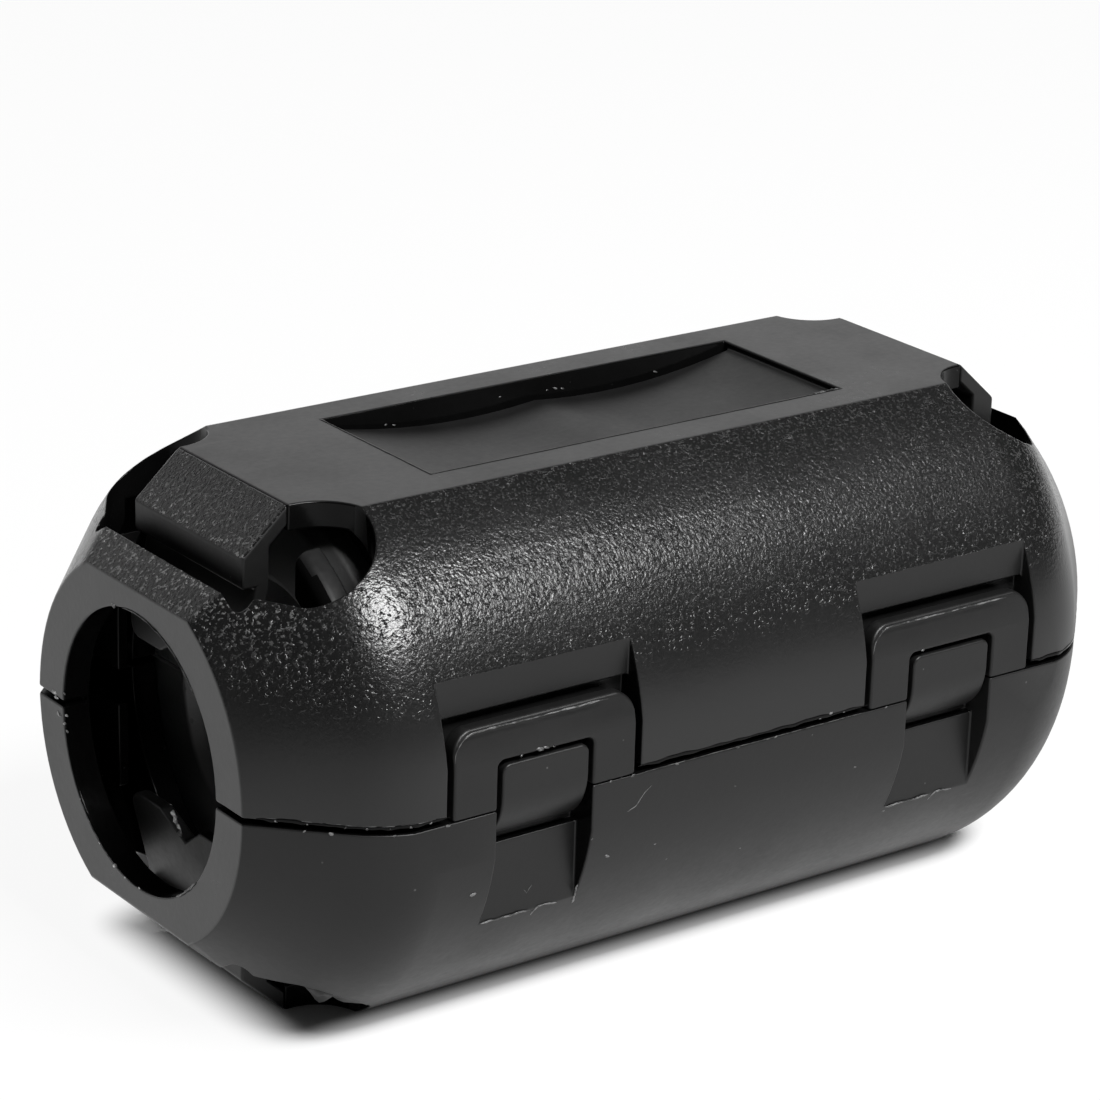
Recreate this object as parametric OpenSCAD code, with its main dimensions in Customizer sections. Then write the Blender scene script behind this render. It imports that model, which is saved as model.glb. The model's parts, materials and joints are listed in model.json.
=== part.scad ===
// Clip-on ferrite bead: a hinged plastic housing with two half cores.
// X runs along the cable, the latches face -Y, the hinge is at +Y, and Z is up.
// The origin is on the cable's axis, halfway along the bead.

/* [Housing] */
// Overall length along the cable
body_len = 35; // [33:0.5:40]
// Width across the flats beside the parting line
body_w = 19.5; // [18:0.1:22]
// Depth of those flats below the round sides
side_flat = 0.15; // [0.12:0.01:0.25]
// Depth of the top and bottom flats below the round sides
top_flat = 1.15; // [1:0.05:1.3]
// Thickness of the side walls at the flats
side_wall = 1.75; // [1.6:0.05:2]
// Thickness of the walls under the top and bottom flats
cover_t = 0.9; // [0.8:0.05:1]
// Thickness of the end and chamfer walls
wall = 1; // [0.8:0.05:1.2]
// Gap between the two halves at the parting line
parting_gap = 0.2; // [0.1:0.05:0.4]

/* [Ends] */
// Diameter of the cable hole
hole_dia = 9.5; // [8.5:0.1:10]
// Width of the flat ring round the hole
ring_w = 1.6; // [1.4:0.05:1.9]
// Depth of the flats above and below that ring
ring_flat = 0.8; // [0.6:0.05:1]
// Slope of the sloping faces above and below the ring, in degrees
ramp_angle = 42; // [40:0.5:45]
// Slope of the end cone from the cable's axis, in degrees
cone_angle = 45; // [42:1:48]
// Radius that blends the cone into the round sides
shoulder_r = 4; // [2:0.25:4.5]

/* [Ferrite cores] */
// Clearance round a core
core_gap = 0.15; // [0.05:0.05:0.2]
// Space between a core's flat and the cover, which the leaf takes up
spring_gap = 0.45; // [0.35:0.05:0.55]
// Chamfer on a core's end edges
core_chamfer = 0.4; // [0.1:0.1:0.8]
// Thickness of the ribs that stop a core endwise
rib_t = 0.95; // [0.8:0.05:1.2]
// Height of the ribs inwards from the core's surface
rib_h = 1.2; // [0.8:0.1:2]
// Length of the space between the ribs and the end wall
chamber_len = 2.7; // [2.4:0.05:3]
// Thickness of the thin webs that stiffen that space
web_t = 0.4; // [0.3:0.05:0.6]
// Distance of the webs from the end of the housing
web_setback = 2.45; // [2.2:0.05:2.6]
// Distance of the webs' edges from the middle plane
web_y = 5.05; // [4.95:0.05:5.5]
// Height of the webs' feet above the parting plane
web_foot_z = 0.6; // [0.2:0.05:1]

/* [Leaf windows] */
// Length of the window in each flat
window_len = 17; // [14:0.5:20]
// Width of that window
window_w = 6.4; // [5:0.1:7]
// Thickness of the leaf that presses on the core
leaf_t = 0.5; // [0.35:0.05:0.6]
// Gap along each side of the leaf
leaf_side_gap = 0.25; // [0.15:0.05:0.5]
// Drop of the leaf's ends below the flat
leaf_end_drop = 0.27; // [0.1:0.05:0.4]
// Drop of the crest halfway along the leaf
leaf_mid_drop = 0.72; // [0.5:0.05:0.8]

/* [Cable grips] */
// Width of the springy tongue
grip_w = 6.6; // [5.6:0.1:7]
// Distance of the tongue's lip from the end of the housing
grip_setback = 1.9; // [1.8:0.05:2.2]
// Thickness of the sloping tongue
tongue_t = 0.5; // [0.5:0.05:0.8]
// Height of the lip at the tongue's tip
lip_h = 1.05; // [0.9:0.05:1.2]
// Place of the plate's root behind the lip, as a share of the tongue's run
root_share = 0.3; // [0.2:0.05:0.35]
// Reach of the plate's free edge in front of the lip
petal_reach = 0.35; // [0:0.05:0.4]
// Thickness of the plate that hangs from the tongue
grip_t = 0.5; // [0.4:0.05:0.7]
// Gap between the gripping edges, above and below the cable
grip_opening = 5.5; // [3:0.1:6.5]
// Width of the notch between a grip's two petals
notch_w = 2.7; // [1:0.1:3]
// Depth of that notch
notch_depth = 0.8; // [0.5:0.1:1.5]
// Radius of a petal's outer corner
petal_corner_r = 0.8; // [0.2:0.1:1]

/* [Corner openings] */
// Radius of the round opening at each corner
corner_r = 1.65; // [1.2:0.05:1.7]
// Distance of its centre from the end of the housing
corner_setback = 3.75; // [3.6:0.05:4.2]
// Radius of the channel's end beside the tongue
channel_r = 0.7; // [0.5:0.05:0.8]
// Distance of its centre from the end of the housing
channel_setback = 2.05; // [1.9:0.05:2.3]
// Reach of the slot beyond the tongue's side
slot_reach = 1.2; // [0.9:0.05:1.3]
// Height above the parting plane down to which the openings are cut
opening_floor = 4.2; // [3.8:0.1:4.4]

/* [Latches] */
// Distance of each latch's centre from the end of the housing
latch_setback = 9.07; // [8.9:0.01:10]
// Width of a latch loop
loop_w = 7.05; // [6:0.05:7.2]
// Thickness of a loop, inwards from the side flats
loop_t = 0.75; // [0.7:0.01:0.8]
// Height of a loop above the base's edge
loop_h = 2.9; // [2.6:0.05:3.1]
// Height of the loop's top bar
bar_h = 1.22; // [0.9:0.02:1.3]
// Width of the opening in the loop
loop_opening_w = 3.7; // [3:0.05:4.2]
// Radius of the loop's top corners
loop_corner_r = 0.8; // [0.2:0.05:1]
// Radius of the corners of the loop's opening
opening_corner_r = 0.25; // [0.1:0.05:0.4]
// Clearance between a loop and the sides of its recess
loop_gap = 0.22; // [0.15:0.01:0.3]
// Clearance between a loop and the face behind it
loop_back_gap = 0.08; // [0.05:0.01:0.1]
// Extra depth of the recess's floor behind a loop
recess_step = 0.32; // [0.2:0.01:0.35]
// Clearance round the catch inside its loop
catch_gap = 0.18; // [0.12:0.01:0.3]
// Radius of the catch's corners
catch_corner_r = 0.3; // [0.1:0.05:0.5]
// Clearance between a catch and the pocket's face behind it
catch_back_gap = 0.1; // [0.06:0.01:0.15]
// Reach of the catch below the parting plane
catch_drop = 1.25; // [1:0.05:1.4]
// Radius of the catch's lead-in
catch_lead_r = 2; // [1.9:0.1:2.6]
// Height above the parting plane where the lead-in starts
catch_lead_z = 0.35; // [0.3:0.05:0.6]
// Clearance below the catch in the deep part of its pocket
catch_tip_gap = 0.35; // [0.2:0.05:0.5]

/* [Hinge] */
// Length of a hinge strap
strap_len = 8; // [5:0.5:9]
// Thickness of a hinge strap
strap_t = 0.35; // [0.2:0.05:0.4]
// Height of a strap's feet above and below the parting plane
strap_foot_z = 1.2; // [0.9:0.05:1.3]
// Bulge of a strap beyond the flats
strap_bulge = 0.5; // [0.4:0.05:0.8]

/* [Hidden] */

$fn = 96;
over = 1; // how far a cutting tool runs past the face that it cuts
bite = 0.2; // how far a joined feature runs into the wall that carries it
far = body_len + body_w;

half_len = body_len / 2;
half_w = body_w / 2;
body_r = half_w + side_flat;
half_h = body_r - top_flat;
half_gap = parting_gap / 2;
hole_r = hole_dia / 2;
ring_r = hole_r + ring_w;
ring_top = ring_r - ring_flat;

// The end cone and the arc that blends it into the round sides
cone_meet_x = half_len - (body_r - ring_r) / tan(cone_angle);
blend_run = shoulder_r * tan(cone_angle / 2);
round_end_x = cone_meet_x - blend_run;
cone_start_x = cone_meet_x + blend_run * cos(cone_angle);
cone_start_r = body_r - blend_run * sin(cone_angle);

// The sloping faces between the top and bottom flats and the end rings
ramp_slope = tan(ramp_angle);
flat_x = half_len - (half_h - ring_top) / ramp_slope;
ramp_wall = wall / cos(ramp_angle);
function ramp_z(x) = half_h - (x - flat_x) * ramp_slope;

// The space inside each half
end_wall_x = half_len - wall;
chamber_x = end_wall_x - chamber_len;
pocket_x = chamber_x - rib_t;
pocket_r = half_w - side_wall;
pocket_h = half_h - cover_t;
inner_flat_x = flat_x - (pocket_h + ramp_wall - half_h) / ramp_slope;
cone_wall = wall / cos(cone_angle);
function cone_r(x) = ring_r + (half_len - x) * tan(cone_angle);

// The cores
core_x = pocket_x - core_gap;
core_r = pocket_r - core_gap;
core_h = pocket_h - spring_gap;
rib_inner_r = core_r - rib_h;
hollow_x = half_len - corner_setback - corner_r - core_chamfer;
hollow_r = body_r - wall;
web_x = half_len - web_setback;
web_h = opening_floor - 2 * web_foot_z;

// The grips and the openings round them
grip_x = half_len - grip_setback;
lip_low_z = ramp_z(grip_x) - lip_h;
root_x = grip_x - root_share * (grip_x - flat_x);
petal_x = grip_x + petal_reach;
grip_half_w = grip_w / 2;
rib_gap_half_w = grip_half_w + core_gap;
slot_end_x = (grip_x + end_wall_x) / 2;
slot_end_r = (end_wall_x - grip_x) / 2;
slot_end_y = grip_half_w + slot_reach - slot_end_r;
corner_x = half_len - corner_setback;
corner_y = grip_half_w + corner_r;
channel_x = half_len - channel_setback;
channel_y = grip_half_w + channel_r;

// The leaf's arcs, whose lowest points rest on the core's flat
leaf_low = half_h - core_h - leaf_t;
leaf_sag = leaf_low - (leaf_end_drop + leaf_mid_drop) / 2;

// The latches
latch_x = half_len - latch_setback;
loop_inner_y = half_w - loop_t;
recess_y = loop_inner_y - loop_back_gap;
recess_floor_y = recess_y - recess_step;
recess_half_w = loop_w / 2 + loop_gap;
recess_step_z = loop_h - half_gap + loop_gap;
bar_under_z = loop_h - half_gap - bar_h;
catch_half_w = loop_opening_w / 2 - catch_gap;
catch_top_z = bar_under_z - catch_gap;
catch_inner_y = recess_floor_y + catch_back_gap;

// The strap's arc, which meets the flats at the feet
strap_r = strap_foot_z * strap_foot_z / (2 * strap_bulge) + strap_bulge / 2;
strap_arc_y = half_w + strap_bulge - strap_r;

PLASTIC = [0.12, 0.12, 0.13];
FERRITE = [0.2, 0.2, 0.21];

// Runs an outline drawn in X and Z along Y, centred
module along_y(length) {
    rotate([90, 0, 0]) linear_extrude(length, center = true) children();
}

// Runs an outline drawn in Y and Z along X, centred
module along_x(length) {
    rotate([90, 0, 90]) linear_extrude(length, center = true) children();
}

// Turns a profile drawn as radius and length about the cable's axis
module about_cable() {
    rotate([0, 90, 0]) rotate_extrude() children();
}

// Keeps the upper side of what is given, above a height
module above(z) {
    intersection() {
        children();
        translate([-far, -far, z]) cube(2 * far);
    }
}

// A part at the front end, or turned to the rear end
module at_end(end) {
    mirror([end == "front" ? 1 : 0, 0, 0]) children();
}

// The same thing on both sides of a plane
module both(normal) {
    children();
    mirror(normal) children();
}

// What rounding leaves out of an upper right corner at the origin
module corner_scrap(r) {
    difference() {
        translate([-r, -r]) square(r + over);
        translate([-r, -r]) circle(r);
    }
}

// ---- The housing's outer form ----

module outer_profile() {
    polygon([
        [0, -half_len], [ring_r, -half_len],
        [cone_start_r, -cone_start_x], [body_r, -round_end_x],
        [body_r, round_end_x], [cone_start_r, cone_start_x],
        [ring_r, half_len], [0, half_len],
    ]);
    for (side = [-1, 1])
        translate([body_r - shoulder_r, side * round_end_x]) circle(shoulder_r);
}

// Seen from the latch side: flats top and bottom, and a ramp down to each ring
module flats_outline() {
    polygon([
        [-half_len, -ring_top], [-flat_x, -half_h],
        [flat_x, -half_h], [half_len, -ring_top],
        [half_len, ring_top], [flat_x, half_h],
        [-flat_x, half_h], [-half_len, ring_top],
    ]);
}

module envelope() {
    intersection() {
        about_cable() outer_profile();
        along_y(body_w) flats_outline();
    }
}

// ---- The space inside ----

// A pocket for the core, ribs that stop it, and a chamber behind each end wall
module inner_profile() {
    polygon([
        [0, -pocket_x], [pocket_r, -pocket_x],
        [pocket_r, pocket_x], [0, pocket_x],
    ]);
    polygon([
        [0, -chamber_x], [rib_inner_r, -chamber_x],
        [rib_inner_r, chamber_x], [0, chamber_x],
    ]);
    both([0, 1]) polygon([
        [0, chamber_x], [cone_r(chamber_x) - cone_wall, chamber_x],
        [cone_r(end_wall_x) - cone_wall, end_wall_x], [0, end_wall_x],
    ]);
}

module inner_outline() {
    polygon([
        [-end_wall_x, 0], [-end_wall_x, ramp_z(end_wall_x) - ramp_wall],
        [-inner_flat_x, pocket_h], [inner_flat_x, pocket_h],
        [end_wall_x, ramp_z(end_wall_x) - ramp_wall], [end_wall_x, 0],
    ]);
}

module inner_space() {
    intersection() {
        about_cable() inner_profile();
        along_y(body_w) union() {
            inner_outline();
            mirror([0, 1]) inner_outline();
        }
    }
}

// ---- Openings in each half ----

// Two circles in plan joined by their outer tangents
module tangent_pair(x1, y1, r1, x2, y2, r2) {
    run = norm([x2 - x1, y2 - y1]);
    way = atan2(y2 - y1, x2 - x1);
    lean = acos((r1 - r2) / run);
    function at(x, y, r, a) = [x + r * cos(a), y + r * sin(a)];
    translate([x1, y1]) circle(r1);
    translate([x2, y2]) circle(r2);
    polygon([
        at(x1, y1, r1, way + lean), at(x2, y2, r2, way + lean),
        at(x2, y2, r2, way - lean), at(x1, y1, r1, way - lean),
    ]);
}

// In plan: the tongue's place, the slot before it and the two corner openings
module end_opening_plan() {
    translate([flat_x, -grip_half_w]) square([end_wall_x - flat_x, grip_w]);
    translate([grip_x, -slot_end_y]) square([end_wall_x - grip_x, 2 * slot_end_y]);
    both([0, 1]) {
        translate([slot_end_x, slot_end_y]) circle(slot_end_r);
        tangent_pair(channel_x, channel_y, channel_r, corner_x, corner_y, corner_r);
        translate([corner_x, grip_half_w]) square([grip_x - corner_x, channel_r]);
    }
}

module end_openings() {
    both([1, 0, 0]) translate([0, 0, opening_floor])
        linear_extrude(half_h) end_opening_plan();
    // round the openings the wall is hollowed to its usual thickness
    both([1, 0, 0]) intersection() {
        translate([hollow_x, 0, 0]) rotate([0, 90, 0])
            cylinder(r = hollow_r, h = chamber_x + bite - hollow_x);
        translate([hollow_x - over, -half_w, opening_floor])
            cube([half_len, body_w, pocket_h - opening_floor]);
    }
    // the tongue swings in a clear way past the ribs
    both([1, 0, 0]) translate([pocket_x - bite, -rib_gap_half_w, 0])
        cube([rib_t + 2 * bite, 2 * rib_gap_half_w, pocket_h]);
}

// The ribs end as free arches, which show in the corner openings
module ribs() {
    both([1, 0, 0]) both([0, 1, 0]) intersection() {
        translate([pocket_x, 0, 0]) rotate([0, 90, 0]) difference() {
            cylinder(r = pocket_r, h = rib_t);
            translate([0, 0, -over]) cylinder(r = rib_inner_r, h = rib_t + 2 * over);
        }
        translate([pocket_x - over, rib_gap_half_w, half_gap])
            cube([rib_t + 2 * over, half_w, half_h]);
    }
}

// Thin upright webs in the end chambers, outside the cable's way
module webs() {
    both([1, 0, 0]) both([0, 1, 0]) intersection() {
        translate([web_x - web_t / 2, web_y, web_foot_z]) cube([web_t, half_w, web_h]);
        envelope();
    }
}

module window() {
    translate([-window_len / 2, -window_w / 2, pocket_h - over])
        cube([window_len, window_w, half_h - pocket_h + 2 * over]);
}

// Half of the leaf: one bow from the crest to the window's end
module leaf_bow() {
    run = window_len / 2;
    rise = leaf_mid_drop - leaf_end_drop;
    chord = norm([run, rise]);
    bow_r = chord * chord / (8 * leaf_sag) + leaf_sag / 2;
    tilt = atan2(rise, run);
    centre = [run / 2 - (bow_r - leaf_sag) * sin(tilt), core_h + leaf_t + bow_r];
    intersection() {
        translate(centre) difference() {
            circle(bow_r + leaf_t, $fn = 360);
            circle(bow_r, $fn = 360);
        }
        translate([0, pocket_h - over]) square([run + bite, half_h - pocket_h + over]);
    }
}

module leaf() {
    along_y(window_w - 2 * leaf_side_gap) both([1, 0]) leaf_bow();
}

// ---- One half of the housing, as the lid lies ----

module half_shell() {
    above(half_gap) difference() {
        envelope();
        inner_space();
        rotate([0, 90, 0]) cylinder(r = hole_r, h = 2 * far, center = true);
        end_openings();
        window();
    }
    ribs();
    webs();
    leaf();
}

// A block across one latch, from a depth outwards
module latch_block(half_wide, inner_y, z_low, z_high) {
    translate([latch_x - half_wide, -far, z_low])
        cube([2 * half_wide, far - inner_y, z_high - z_low]);
}

module latch_recesses() {
    both([1, 0, 0]) {
        latch_block(recess_half_w, recess_y, -over, half_h);
        latch_block(recess_half_w, recess_floor_y, -over, recess_step_z);
    }
}

// The catch's side view in Y and Z: flat above, rounded in towards its tip
module catch_outline() {
    translate([-half_w, catch_lead_z])
        square([half_w - recess_floor_y + bite, catch_top_z - catch_lead_z]);
    intersection() {
        translate([catch_lead_r - half_w, catch_lead_z]) circle(catch_lead_r);
        union() {
            translate([-half_w, -catch_drop])
                square([half_w - catch_inner_y, catch_drop + catch_lead_z]);
            translate([-half_w, half_gap])
                square([half_w - recess_floor_y + bite, catch_lead_z - half_gap]);
        }
    }
}

// A catch seen from outside, in X and Z
module catch_face() {
    difference() {
        translate([-catch_half_w, -catch_drop])
            square([2 * catch_half_w, catch_drop + catch_top_z]);
        both([1, 0]) {
            translate([catch_half_w, catch_top_z]) corner_scrap(catch_corner_r);
            translate([catch_half_w, -catch_drop]) mirror([0, 1])
                corner_scrap(catch_corner_r);
        }
    }
}

module catches() {
    both([1, 0, 0]) translate([latch_x, 0, 0]) intersection() {
        along_x(2 * catch_half_w) catch_outline();
        translate([0, -half_w, 0]) along_y(2 * half_w) catch_face();
    }
}

module lid_shell() {
    color(PLASTIC) {
        difference() {
            half_shell();
            latch_recesses();
        }
        catches();
    }
}

module base_shell() {
    color(PLASTIC) difference() {
        mirror([0, 0, 1]) half_shell();
        both([1, 0, 0]) {
            latch_block(loop_opening_w / 2, recess_y, -half_h, over);
            latch_block(loop_opening_w / 2, recess_floor_y,
                -catch_drop - catch_tip_gap, over);
        }
    }
}

// ---- The pieces that bend ----

// A loop seen from outside, in X and Z
module loop_outline() {
    top = loop_h - half_gap;
    half = loop_w / 2;
    difference() {
        translate([-half, -half_gap]) square([loop_w, loop_h]);
        both([1, 0]) translate([half, top]) corner_scrap(loop_corner_r);
        difference() {
            translate([-loop_opening_w / 2, -over])
                square([loop_opening_w, bar_under_z + over]);
            both([1, 0]) translate([loop_opening_w / 2, bar_under_z])
                corner_scrap(opening_corner_r);
        }
    }
}

module latch_loop(end) {
    color(PLASTIC) at_end(end) intersection() {
        envelope();
        translate([latch_x, -half_w, 0])
            along_y(2 * (half_w - loop_inner_y)) loop_outline();
    }
}

// A grip in X and Z: the sloping tongue with its lip, and the leaning plate
module grip_outline() {
    drop = tongue_t / cos(ramp_angle);
    polygon([
        [flat_x, half_h], [grip_x, ramp_z(grip_x)], [grip_x, lip_low_z],
        [root_x, lip_low_z], [petal_x, grip_opening / 2],
        [petal_x - grip_t, grip_opening / 2], [root_x - grip_t, lip_low_z],
        [root_x - grip_t, ramp_z(root_x - grip_t) - drop], [flat_x, half_h - drop],
    ]);
}

// The plate seen along the cable, with a notch between its two petals
module petals_outline() {
    edge = grip_opening / 2;
    difference() {
        translate([-grip_half_w, edge]) square([grip_w, half_h]);
        both([1, 0]) translate([grip_half_w, edge]) mirror([0, 1])
            corner_scrap(petal_corner_r);
        polygon([
            [-notch_w / 2, edge - over / 10], [notch_w / 2, edge - over / 10],
            [0, edge + notch_depth],
        ]);
    }
}

module grip(end) {
    color(PLASTIC) at_end(end) intersection() {
        along_y(grip_w) grip_outline();
        along_x(2 * far) petals_outline();
    }
}

// A thin web that bulges over the parting line from flat to flat
module hinge_strap(end) {
    color(PLASTIC) at_end(end) translate([latch_x, 0, 0]) along_x(strap_len)
        intersection() {
            translate([strap_arc_y, 0]) difference() {
                circle(strap_r + strap_t / 2);
                circle(strap_r - strap_t / 2);
            }
            translate([half_w, -half_h]) square([half_w, 2 * half_h]);
        }
}

// ---- The cores ----

module core_profile() {
    r = core_r;
    c = core_chamfer;
    polygon([
        [hole_r + c, -core_x], [r - c, -core_x], [r, c - core_x],
        [r, core_x - c], [r - c, core_x], [hole_r + c, core_x],
        [hole_r, core_x - c], [hole_r, c - core_x],
    ]);
}

module half_core() {
    above(0) intersection() {
        about_cable() core_profile();
        cube([2 * core_x, body_w, 2 * core_h], center = true);
    }
}

module lid_core() {
    color(FERRITE) half_core();
}

module base_core() {
    color(FERRITE) mirror([0, 0, 1]) half_core();
}

base_shell();
lid_shell();
base_core();
lid_core();
mirror([0, 0, 1]) grip("front");  // base_grip_front
mirror([0, 0, 1]) grip("rear");  // base_grip_rear
grip("front");  // lid_grip_front
grip("rear");  // lid_grip_rear
latch_loop("front");  // latch_loop_front
latch_loop("rear");  // latch_loop_rear
hinge_strap("front");  // hinge_strap_front
hinge_strap("rear");  // hinge_strap_rear
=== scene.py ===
import json
import math

import bmesh
import bpy
import numpy as np
from bpy.props import FloatProperty, FloatVectorProperty, IntProperty, PointerProperty
from mathutils import Matrix, Quaternion, Vector


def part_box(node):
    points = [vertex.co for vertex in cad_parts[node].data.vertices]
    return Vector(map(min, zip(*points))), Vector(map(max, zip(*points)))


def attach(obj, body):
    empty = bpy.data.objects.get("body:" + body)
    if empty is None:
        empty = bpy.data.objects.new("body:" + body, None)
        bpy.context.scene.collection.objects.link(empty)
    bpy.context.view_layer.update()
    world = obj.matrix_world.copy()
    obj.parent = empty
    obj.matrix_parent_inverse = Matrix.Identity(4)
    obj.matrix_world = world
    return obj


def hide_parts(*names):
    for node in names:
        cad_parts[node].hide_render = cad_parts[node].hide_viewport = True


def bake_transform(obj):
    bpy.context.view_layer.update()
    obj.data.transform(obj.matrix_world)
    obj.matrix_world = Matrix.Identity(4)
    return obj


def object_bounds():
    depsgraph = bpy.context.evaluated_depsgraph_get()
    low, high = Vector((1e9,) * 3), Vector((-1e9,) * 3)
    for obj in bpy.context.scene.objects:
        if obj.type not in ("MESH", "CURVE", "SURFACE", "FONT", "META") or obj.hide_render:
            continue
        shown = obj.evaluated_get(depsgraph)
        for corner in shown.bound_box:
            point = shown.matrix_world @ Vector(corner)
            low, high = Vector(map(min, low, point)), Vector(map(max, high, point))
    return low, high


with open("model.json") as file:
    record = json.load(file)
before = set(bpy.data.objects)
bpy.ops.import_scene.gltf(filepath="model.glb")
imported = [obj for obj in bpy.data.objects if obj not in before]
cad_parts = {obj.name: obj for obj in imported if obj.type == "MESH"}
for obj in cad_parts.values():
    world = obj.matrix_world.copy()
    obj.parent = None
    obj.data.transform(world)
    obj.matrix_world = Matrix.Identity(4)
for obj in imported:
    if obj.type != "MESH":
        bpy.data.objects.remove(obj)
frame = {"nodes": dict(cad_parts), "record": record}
CAD_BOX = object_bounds()

bl_info = {
    "name": "Clip-on ferrite bead",
    "version": (1, 0, 0),
    "blender": (4, 5, 0),
    "location": "3D View > Sidebar > Bead",
    "description": "Dresses the hinged plastic housing and the two half cores of a clip-on ferrite bead",
    "category": "Object",
}

BODY_OF = {
    node: body
    for body, nodes in frame["record"]["behaviour"]["bodies"].items()
    for node in nodes
}
MM, MICRON = 0.001, 0.000001

# Sizes of the CAD part, in metres
HALF_LENGTH, HALF_HEIGHT = CAD_BOX[1].x, CAD_BOX[1].z
FLAT_Y = -CAD_BOX[0].y
FLOOR_Z = CAD_BOX[0].z
HALF_GAP = 0.0001
HOLE_RADIUS = 0.00475
CONE_ANGLE = math.radians(45)
RIB_X, RIB_RADIUS = 0.0138, 0.008
WINDOW_X, WINDOW_Y = 0.0085, 0.0032
LEAF_Z = 0.0062
END_X = 0.0122
LIP_X, LIP_Z = 0.0135, 0.002
CATCH_X, CATCH_REACH = 0.00843, 0.0019
POCKET_Y = 0.00892
LOOP_CORNER = 0.0008
STRAP_THICKNESS = 0.00035

SHELL_FINISHES = ["satin_nylon", "eroded_nylon", "planed_nylon", "leaf_nylon", "shaded_nylon"]
SATIN, ERODED, PLANED, LEAF, SHADED = range(len(SHELL_FINISHES))

# Where the flash, crumbs, scratches and the strips of painted shade and painted highlight are, in
# millimetres.
# On the latch side a place is its x and its height z; a crumb adds its size in micrometres.
POCKET_CURL = ((0.24, -4.6), (0.28, -4.43), (0.42, -4.28), (0.7, -4.25), (1.2, -4.36))
POCKET_TEAR = ((-6.62, -3.75), (-6.6, -4.1), (-6.55, -4.34), (-6.52, -4.6))
LOOP_CRUMBS = ((-9.42, 1.6, 70), (-8.72, 1.66, 130), (-8.48, 1.66, 110), (-8.18, 1.62, 60), (7.1, 1.62, 80))
LID_CRUMBS = (
    (2.75, 0.12, 60), (3.2, 0.2, 90), (3.76, 0.12, 60), (-16.75, 0.12, 70), (-16.05, 0.12, 50),
    (-15.2, 0.13, 70), (-14.7, 0.12, 80), (-14.1, 0.12, 50), (-13.5, 0.13, 70), (-12.8, 0.12, 60))
BASE_CRUMBS = (
    (-5.87, -0.12, 60), (-4.99, -0.12, 90), (-3.22, -0.13, 80), (-0.73, -0.12, 80),
    (0.54, -0.12, 60), (0.87, -0.12, 60), (5.62, -0.12, 60), (-16.12, -0.13, 60),
    (-15.51, -0.14, 120), (-14.0, -0.12, 70), (-12.16, -0.14, 90),
    (-10.95, -2.9, 135), (-5.71, -2.87, 100), (4.45, -2.05, 55), (-0.76, -1.49, 55),
    (2.43, -0.41, 40), (6.62, -4.51, 60), (-3.75, -2.94, 45), (-6.51, -1.99, 40),
    (8.12, -4.35, 55), (0.27, -4.28, 45))
# The stretches along the cable of the strips of painted shade above the parting line.
PARTING_SHADE = {"front": (-17.2, -12.1), "middle": (-4.8, 4.8), "rear": (12.1, 17.2)}
SIDE_SCRATCH = ((-5.18, -1.35), (-4.82, -1.22), (-4.63, -0.99), (-4.48, -0.82), (-4.21, -0.64))
POCKET_SCRATCH = ((-8.57, -3.55), (-8.47, -3.7), (-8.37, -3.57), (-8.27, -3.45))
# A painted highlight along the upper edge of the lower grip behind the front hole: x, y and z of its path.
GRIP_HIGHLIGHT = ((-15.5, 1.35, -2.77), (-15.6, 0.95, -2.92), (-15.68, 0.6, -3.17), (-15.74, 0.2, -3.45))
# A crumb on the front ring: its angle above the latch side in degrees, its distance from the axis, its size.
RING_CRUMBS_BASE = (
    (-108, 4.78, 130), (-100, 4.78, 70), (-89, 4.74, 60), (-121, 4.8, 60), (-141, 4.78, 60),
    (-175, 5.05, 130), (-172, 4.72, 90), (-176, 4.55, 90), (-169, 4.6, 80))
RING_CRUMBS_LID = ((107, 4.79, 120), (179, 5.2, 120), (177.5, 5.35, 140), (175, 4.68, 60), (45, 4.76, 60))
# The burr gives x and its distance outside the window; the crumbs on the window's wall x, z and size.
WINDOW_BURR = ((7.3, 0), (7.78, 0.03), (8.1, 0), (8.42, 0.03))
WINDOW_CRUMBS = (
    (0.75, 8.2, 70), (1.09, 8.22, 90), (1.4, 8.16, 80), (5.45, 8.09, 90), (-5.92, 8.1, 80),
    (-5.6, 8.04, 70), (-1.24, 8.3, 60))
# The torn lip at the front lower opening: x, its upper z and its lower z.
OPENING_LIP = (
    (-14.98, -6.42, -6.46), (-14.75, -6.4, -6.75), (-14.48, -6.42, -7.12), (-14.3, -6.5, -7.3),
    (-14.22, -6.55, -7.2), (-14.18, -6.55, -6.86), (-13.95, -6.65, -7.06), (-13.7, -6.8, -7.22),
    (-13.4, -7.0, -7.3), (-13.0, -7.3, -7.45), (-12.7, -7.6, -7.68))

# The stage, in metres
CAMERA_PLACE = Vector((-0.0759492, -0.1002272, 0.049948))
CAMERA_TURN = Quaternion((0.7827132, 0.5397132, -0.1879648, -0.2464526))
LAMP_SIZE = (0.14, 0.052)
LAMP_TARGET, LAMP_AIM, LAMP_DISTANCE = Vector((0.033, -0.0076, 0.0064)), Vector((0, -0.592, 0.806)), 0.22
BACKDROP_RADIUS, BACKDROP_TOP = 0.6, 0.45
# The floor's own light fades under the bead: the middle in y, half the length, half the width and the fade.
CONTACTS = ((0.0, 0.0139, 0.0045, 0.0026), (0.0028, 0.0122, 0.0068, 0.0012))
# It rises from the first y to the second, so that the latch side doesn't mirror it.
FRONT_FADE = (-0.09, -0.025)


# ---- Sizes and colours that a user may change ----

def number(name, description, default, low=0, high=1, **more):
    """A number and its range."""
    return FloatProperty(
        name=name, description=description, default=default, min=low, max=high, **more)


def grey(name, description, level):
    """A colour that starts as a grey."""
    return FloatVectorProperty(
        name=name, description=description, default=(level, level, level), min=0, max=1,
        subtype="COLOR")


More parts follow.
